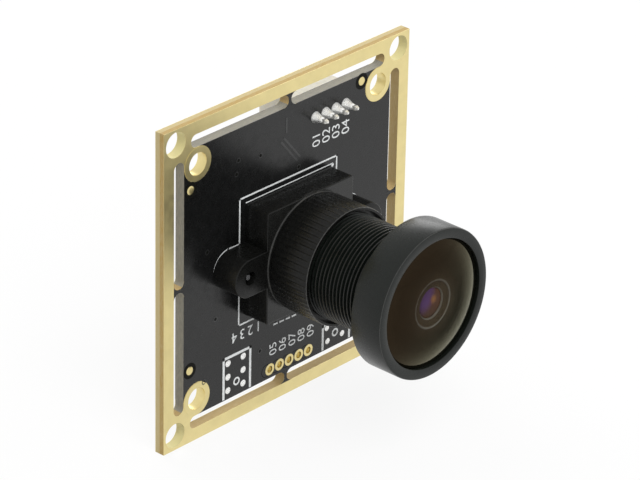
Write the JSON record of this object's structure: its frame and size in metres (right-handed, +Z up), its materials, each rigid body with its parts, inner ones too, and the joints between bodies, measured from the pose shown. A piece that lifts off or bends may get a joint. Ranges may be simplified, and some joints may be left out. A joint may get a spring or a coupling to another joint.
{
  "type": "board camera module",
  "caption": "Square circuit board with a snap-off rail, a ribbed lens holder and a screw-in wide-angle lens.",
  "frame": {"origin": "centre of the board's back face, on the lens axis, which is the centre of the four rail holes", "axes": "-Y along the lens axis, out of the front glass; +Z up the board; +X to the board's right as seen from the lens"},
  "size_m": [0.038, 0.0292, 0.038],
  "materials": {
    "board": "satin solder mask",
    "gold": "satin plated",
    "tin": "bright",
    "shell": "satin",
    "holder": "fine matte",
    "screw": "plated",
    "lens_body": "black anodised",
    "lens_ring": "matte black",
    "seal": "matte",
    "front_glass": "coated",
    "inner_glass": "coated",
    "filter": "coated",
    "sensor": "gloss",
    "chip": "fine matte",
    "can": "satin",
    "ceramic": "satin",
    "ferrite": "matte",
    "resistor": "gloss"
  },
  "bodies": {
    "root": {"circuit_board": "board", "mounting_rings": "gold", "signal_pads": "gold", "header_shell": "shell", "header_pins": "tin", "header_solder": "tin", "lens_holder": "holder", "holder_screws": "screw", "lens_body": "lens_body", "front_glass": "front_glass", "front_seal": "seal", "second_glass": "inner_glass", "second_spacer": "lens_ring", "third_glass": "inner_glass", "third_spacer": "lens_ring", "aperture_stop": "lens_ring", "fourth_spacer": "lens_ring", "fourth_glass": "inner_glass", "rear_spacer": "lens_ring", "rear_glass": "inner_glass", "infrared_filter": "filter", "image_sensor": "sensor", "sensor_glass": "filter", "controller_chip": "chip", "controller_leads": "tin", "memory_chip": "chip", "memory_leads": "tin", "crystal_can": "can", "crystal_base": "ceramic", "regulators": "chip", "regulator_leads": "tin", "power_coil": "ferrite", "coil_ends": "tin", "capacitors": "ceramic", "capacitor_ends": "tin", "resistors": "resistor", "resistor_ends": "tin"}
  },
  "joints": []
}
